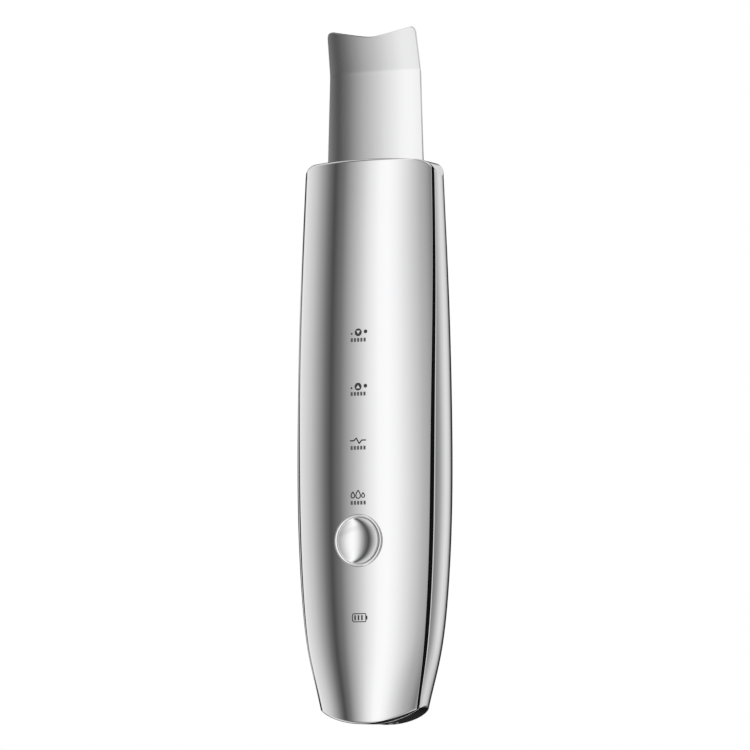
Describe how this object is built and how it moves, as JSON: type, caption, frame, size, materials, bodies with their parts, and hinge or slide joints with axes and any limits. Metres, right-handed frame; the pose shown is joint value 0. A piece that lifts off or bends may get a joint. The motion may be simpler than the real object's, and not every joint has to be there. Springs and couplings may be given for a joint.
{
  "type": "skin scrubber",
  "caption": "Hand-held ultrasonic skin scrubber: bent steel blade on a slim bright handle with one dished push button and a charging socket.",
  "frame": {"origin": "under the middle of the handle's lower end, on the handle's long axis", "axes": "+Z along the handle towards the blade, -Y towards the button side, +X to the right seen from the button side"},
  "size_m": [0.0394, 0.0182, 0.1657],
  "materials": {
    "chrome_shell": "mirror-bright plating on moulded plastic",
    "chrome_trim": "mirror-bright plated ring",
    "chrome_button": "mirror-bright dished cap",
    "blade_steel": "polished stainless steel",
    "horn_metal": "machined",
    "screw_steel": "zinc-plated steel",
    "brass": "stamped strip",
    "ceramic": "silvered ceramic",
    "black_rubber": "matt silicone",
    "black_plastic": "moulded",
    "white_plastic": "moulded",
    "switch_plastic": "moulded",
    "circuit_board": "solder mask",
    "chip_plastic": "epoxy",
    "led_lens": "epoxy lens",
    "clear_plastic": "clear acrylic",
    "ferrite": "ferrite",
    "battery_wrap": "shrink film",
    "foam": "closed-cell foam",
    "lead_insulation": "lead insulation",
    "ribbon_film": "polyimide film"
  },
  "bodies": {
    "handle": {"front_cover": "chrome_shell", "rear_shell": "chrome_shell", "seam_gasket": "black_rubber", "chassis": "black_plastic", "chassis_screws": "screw_steel", "blade": "blade_steel", "blade_seal": "black_rubber", "blade_clamp": "screw_steel", "blade_screws": "screw_steel", "transducer_horn": "horn_metal", "piezo_rings": "ceramic", "electrodes": "brass", "insulating_sleeve": "white_plastic", "transducer_back_mass": "screw_steel", "transducer_bolt": "screw_steel", "isolator_rings": "black_rubber", "transducer_straps": "black_plastic", "strap_screws": "screw_steel", "button_ring": "chrome_trim", "tact_switch": "switch_plastic", "main_board": "circuit_board", "board_screws": "screw_steel", "board_chips": "chip_plastic", "mode_leds": "led_lens", "gauge_leds": "led_lens", "mode_light_guide": "clear_plastic", "gauge_light_guide": "clear_plastic", "boost_transformer": "ferrite", "filter_coil": "ferrite", "battery_cell": "battery_wrap", "battery_pad": "foam", "battery_board": "circuit_board", "battery_leads": "lead_insulation", "transducer_leads": "lead_insulation", "port_bezel": "black_plastic", "port_seal": "black_rubber", "charging_socket": "screw_steel", "socket_tongue": "black_plastic", "charge_board": "circuit_board", "charge_ribbon": "ribbon_film", "contact_spring": "brass"},
    "button": {"button_cap": "chrome_button"},
    "plunger": {"switch_plunger": "black_plastic"}
  },
  "joints": [
    {"name": "button_press", "type": "slide", "parent": "handle", "child": "button", "axis": [0, 1, 0], "range_m": [0, 0.0005], "stiffness_N_per_m": 3000},
    {"name": "plunger_press", "type": "slide", "parent": "handle", "child": "plunger", "axis": [0, 1, 0], "range_m": [0, 0.0005]}
  ],
  "couplings": [
    {"joint": "plunger_press", "follows": "button_press", "ratio": 1}
  ]
}
